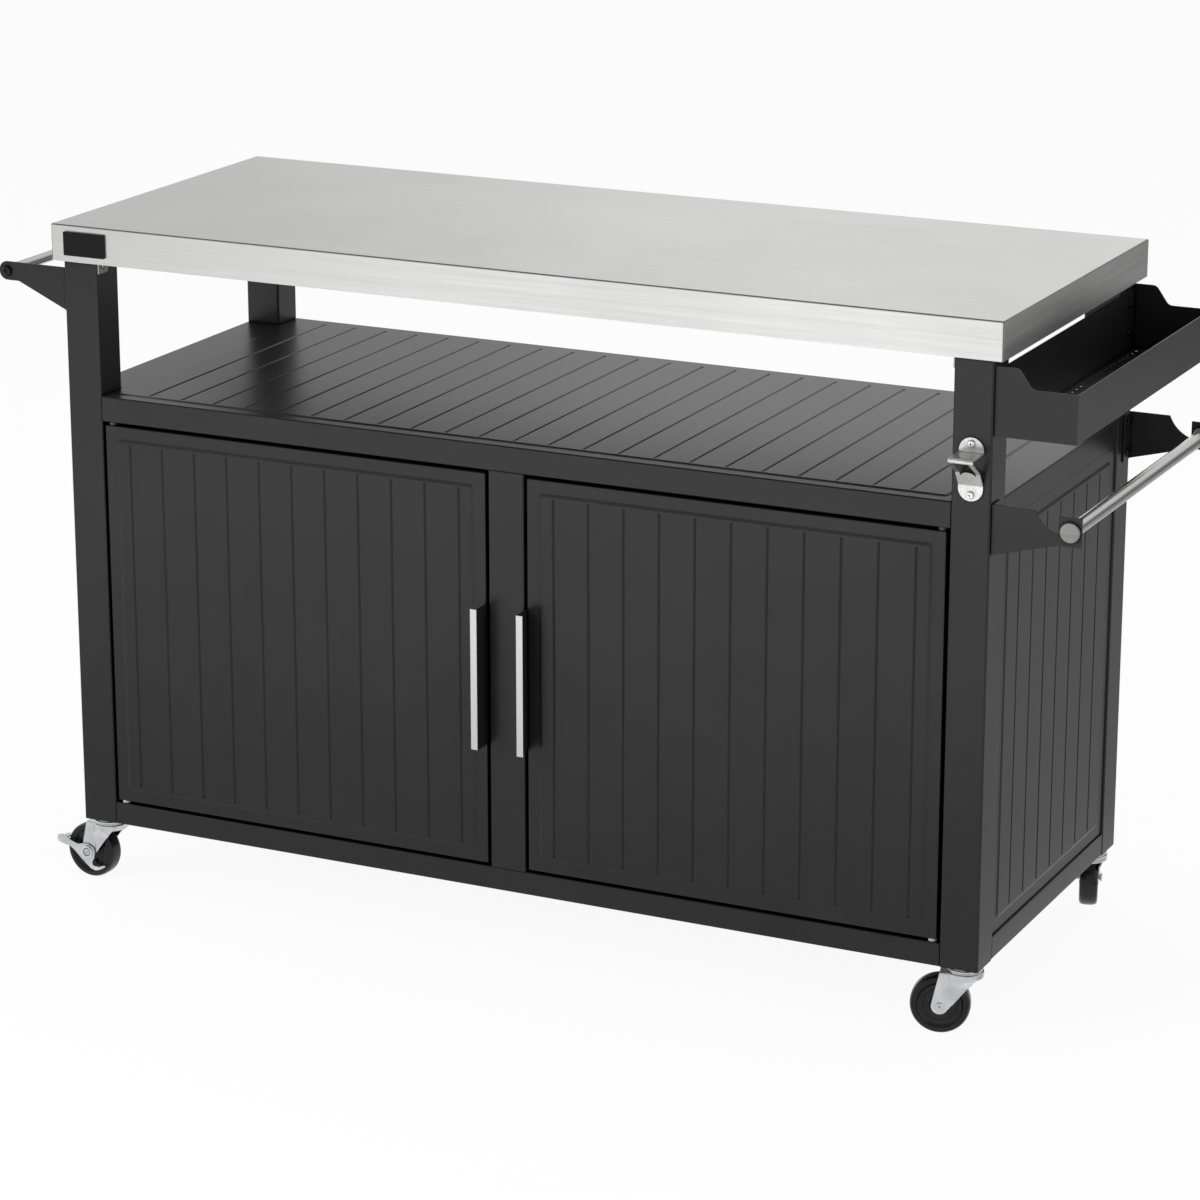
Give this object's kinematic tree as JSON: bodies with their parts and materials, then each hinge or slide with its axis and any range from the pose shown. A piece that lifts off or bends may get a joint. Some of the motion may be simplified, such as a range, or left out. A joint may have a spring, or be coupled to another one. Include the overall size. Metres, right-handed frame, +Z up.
{
  "type": "grill cart with storage cabinet",
  "caption": "Outdoor grill cart: stainless worktop over an open shelf and a cabinet with hinged doors, side tray, towel bar, handle and swivel casters.",
  "frame": {"origin": "bottom centre of the bounding box, on the floor that the wheels stand on", "axes": "+X towards the side tray, -Y towards the doors' front, +Z up"},
  "size_m": [1.4882, 0.5854, 0.9],
  "materials": {
    "powder_coat": "fine-textured dark grey powder coat",
    "stainless": "brushed along the length",
    "zinc": "bright zinc plating",
    "wheel_plastic": "matt moulded",
    "black_plastic": "matt moulded",
    "nylon": "natural nylon"
  },
  "bodies": {
    "frame": {"worktop": "stainless", "head_rail_front": "powder_coat", "head_rail_rear": "powder_coat", "worktop_stiffeners": "powder_coat", "worktop_clips": "zinc", "leg_plugs": "black_plastic", "top_rail_front": "powder_coat", "top_rail_rear": "powder_coat", "top_rail_right": "powder_coat", "top_rail_left": "powder_coat", "bottom_rail_front": "powder_coat", "bottom_rail_rear": "powder_coat", "bottom_rail_right": "powder_coat", "bottom_rail_left": "powder_coat", "centre_post": "powder_coat", "shelf_panel": "powder_coat", "floor_panel": "powder_coat", "side_panel_right": "powder_coat", "side_panel_left": "powder_coat", "back_panel": "powder_coat", "side_tray": "powder_coat", "towel_bracket_front": "powder_coat", "towel_bracket_rear": "powder_coat", "towel_bar": "stainless", "towel_bar_caps": "stainless", "handle_bracket_front": "powder_coat", "handle_bracket_rear": "powder_coat", "handle_tube": "stainless", "bottle_opener": "zinc", "blank_plate": "black_plastic", "wall_screws": "zinc", "magnet_catches": "black_plastic", "hinge_bushes": "nylon", "caster_stems": "zinc", "leg_front_right": "powder_coat", "leg_front_left": "powder_coat", "leg_rear_right": "powder_coat", "leg_rear_left": "powder_coat"},
    "door_left": {"left_door": "powder_coat", "left_door_pull": "powder_coat", "left_pull_strip": "stainless", "left_door_pins": "zinc"},
    "door_right": {"right_door": "powder_coat", "right_door_pull": "powder_coat", "right_pull_strip": "stainless", "right_door_pins": "zinc"},
    "swivel_front_left": {"fork_front_left": "zinc", "axle_front_left": "zinc"},
    "wheel_front_left": {"wheel_front_left": "wheel_plastic"},
    "brake_front_left": {"brake_front_left": "zinc"},
    "swivel_front_right": {"fork_front_right": "zinc", "axle_front_right": "zinc"},
    "wheel_front_right": {"wheel_front_right": "wheel_plastic"},
    "swivel_rear_left": {"fork_rear_left": "zinc", "axle_rear_left": "zinc"},
    "wheel_rear_left": {"wheel_rear_left": "wheel_plastic"},
    "brake_rear_left": {"brake_rear_left": "zinc"},
    "swivel_rear_right": {"fork_rear_right": "zinc", "axle_rear_right": "zinc"},
    "wheel_rear_right": {"wheel_rear_right": "wheel_plastic"}
  },
  "joints": [
    {"name": "door_left_hinge", "type": "hinge", "parent": "frame", "child": "door_left", "pos_m": [-0.57985, -0.24617, 0.1244], "axis": [0, 0, -1], "range_deg": [0, 110]},
    {"name": "door_right_hinge", "type": "hinge", "parent": "frame", "child": "door_right", "pos_m": [0.57015, -0.24617, 0.1244], "axis": [0, 0, 1], "range_deg": [0, 110]},
    {"name": "caster_front_left_swivel", "type": "hinge", "parent": "frame", "child": "swivel_front_left", "pos_m": [-0.61685, -0.22967, 0.079], "axis": [0, 0, 1], "continuous": true},
    {"name": "wheel_front_left_spin", "type": "hinge", "parent": "swivel_front_left", "child": "wheel_front_left", "pos_m": [-0.64574, -0.22714, 0.0375], "axis": [-0.0872, -0.9962, 0], "continuous": true},
    {"name": "brake_front_left_press", "type": "hinge", "parent": "swivel_front_left", "child": "brake_front_left", "pos_m": [-0.64574, -0.22714, 0.0375], "axis": [-0.0872, -0.9962, 0], "range_deg": [0, 15]},
    {"name": "caster_front_right_swivel", "type": "hinge", "parent": "frame", "child": "swivel_front_right", "pos_m": [0.60715, -0.22967, 0.079], "axis": [0, 0, 1], "continuous": true},
    {"name": "wheel_front_right_spin", "type": "hinge", "parent": "swivel_front_right", "child": "wheel_front_right", "pos_m": [0.57927, -0.23766, 0.0375], "axis": [0.2756, -0.9613, 0], "continuous": true},
    {"name": "caster_rear_left_swivel", "type": "hinge", "parent": "frame", "child": "swivel_rear_left", "pos_m": [-0.61685, 0.22633, 0.079], "axis": [0, 0, 1], "continuous": true},
    {"name": "wheel_rear_left_spin", "type": "hinge", "parent": "swivel_rear_left", "child": "wheel_rear_left", "pos_m": [-0.6406, 0.2097, 0.0375], "axis": [0.5736, -0.8192, 0], "continuous": true},
    {"name": "brake_rear_left_press", "type": "hinge", "parent": "swivel_rear_left", "child": "brake_rear_left", "pos_m": [-0.6406, 0.2097, 0.0375], "axis": [0.5736, -0.8192, 0], "range_deg": [0, 15]},
    {"name": "caster_rear_right_swivel", "type": "hinge", "parent": "frame", "child": "swivel_rear_right", "pos_m": [0.60715, 0.22633, 0.079], "axis": [0, 0, 1], "continuous": true},
    {"name": "wheel_rear_right_spin", "type": "hinge", "parent": "swivel_rear_right", "child": "wheel_rear_right", "pos_m": [0.59819, 0.25391, 0.0375], "axis": [-0.9511, -0.309, 0], "continuous": true}
  ]
}
